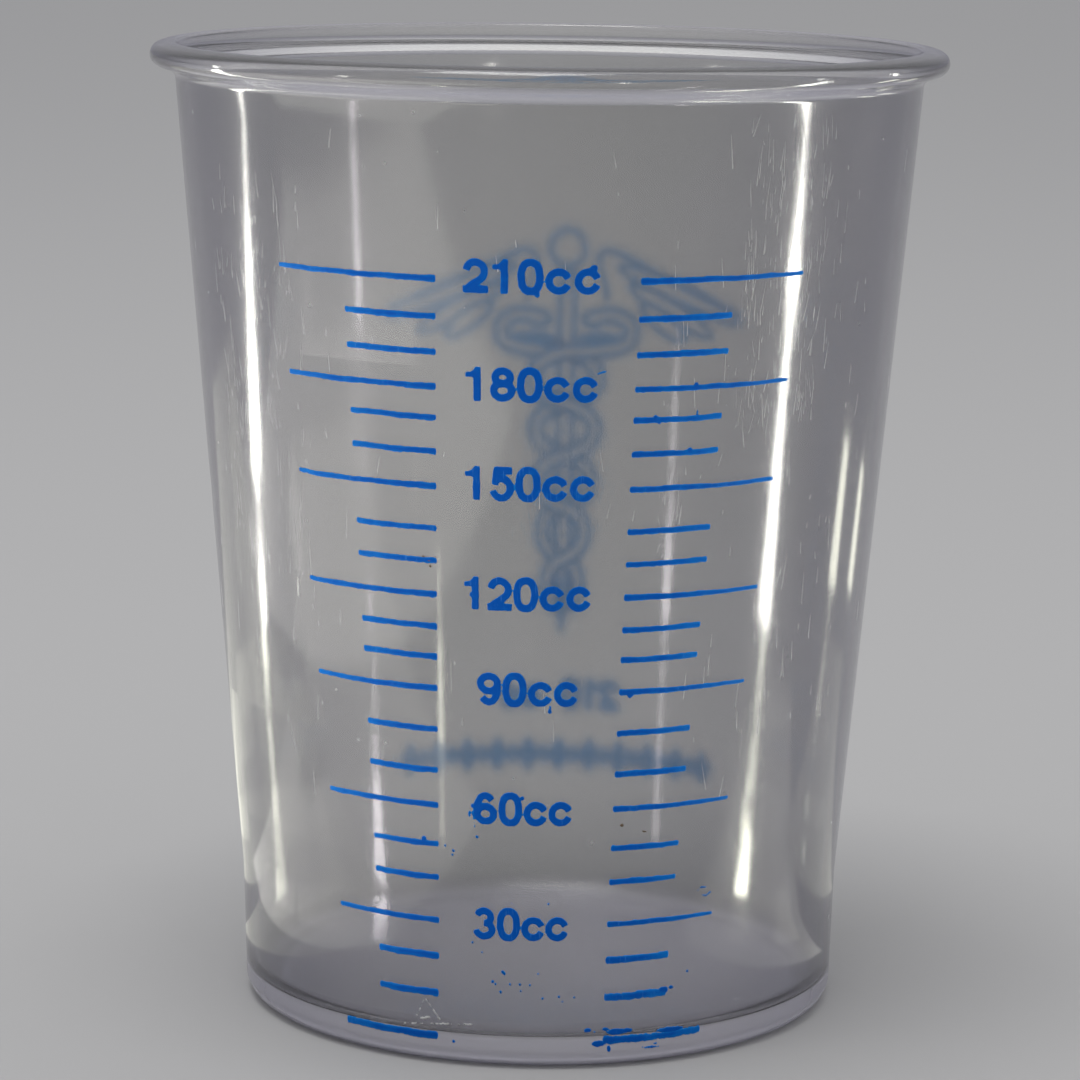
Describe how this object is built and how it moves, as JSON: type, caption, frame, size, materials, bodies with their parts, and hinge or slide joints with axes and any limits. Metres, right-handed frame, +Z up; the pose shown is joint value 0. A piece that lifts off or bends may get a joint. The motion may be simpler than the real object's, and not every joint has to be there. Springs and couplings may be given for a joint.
{
  "type": "medicine cup",
  "caption": "Clear moulded measuring cup with a tapered wall, a beaded rim and a printed scale with numerals.",
  "frame": {"origin": "centre of the foot, on the surface that the cup stands on", "axes": "+Z up along the cup's axis; the scale faces -Y and the emblem faces +Y"},
  "size_m": [0.0767, 0.0766, 0.0935],
  "materials": {
    "clear_plastic": "clear moulded plastic, slightly hazy, with fine wear marks",
    "blue_ink": "printed blue ink, slightly ragged at its edges"
  },
  "bodies": {
    "root": {"cup_shell": "clear_plastic", "left_long_lines": "blue_ink", "left_short_lines": "blue_ink", "right_long_lines": "blue_ink", "right_short_lines": "blue_ink", "base_lines": "blue_ink", "numeral_210": "blue_ink", "numeral_180": "blue_ink", "numeral_150": "blue_ink", "numeral_120": "blue_ink", "numeral_90": "blue_ink", "numeral_60": "blue_ink", "numeral_30": "blue_ink", "emblem_ring": "blue_ink", "emblem_staff": "blue_ink", "emblem_wing_left": "blue_ink", "emblem_wing_right": "blue_ink", "emblem_band_left": "blue_ink", "emblem_band_right": "blue_ink", "back_numeral": "blue_ink", "back_ornament": "blue_ink"}
  },
  "joints": []
}
